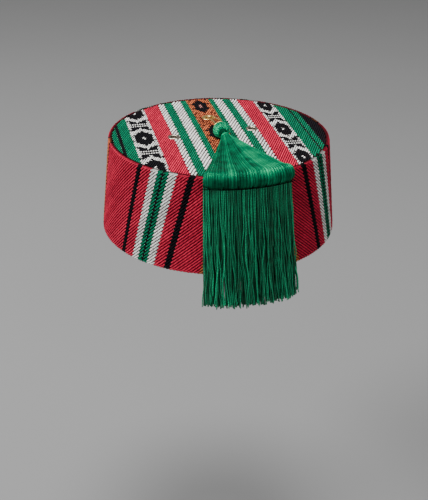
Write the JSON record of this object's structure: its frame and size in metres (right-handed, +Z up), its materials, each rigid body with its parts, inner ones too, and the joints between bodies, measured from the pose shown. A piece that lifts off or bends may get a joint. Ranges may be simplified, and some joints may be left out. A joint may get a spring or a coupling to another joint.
{
  "type": "fez hat with a tassel",
  "caption": "Low flared fez of striped woven cloth with a flat round crown, metal vent eyelets and a silk tassel hooked to the crown.",
  "frame": {"origin": "centre of the head opening, in the plane of the rim's lower edge", "axes": "+Z up through the crown, +Y to the back of the hat where the tassel hangs, +X to the wearer's left"},
  "size_m": [0.1904, 0.2019, 0.1124],
  "materials": {
    "striped_cloth": "coarse ribbed weave in red, green, white, black and orange stripes",
    "eyelet_metal": "polished, lightly tarnished",
    "gold_metal": "polished",
    "green_silk": "glossy twisted silk"
  },
  "bodies": {
    "root": {"side_band": "striped_cloth", "crown_top": "striped_cloth", "eyelet_left": "eyelet_metal", "eyelet_right": "eyelet_metal", "eyelet_front": "gold_metal", "tassel_loop": "gold_metal", "tassel_cap": "gold_metal", "tassel_ball": "green_silk", "tassel_fan": "green_silk", "tassel_fringe": "green_silk"}
  },
  "joints": []
}
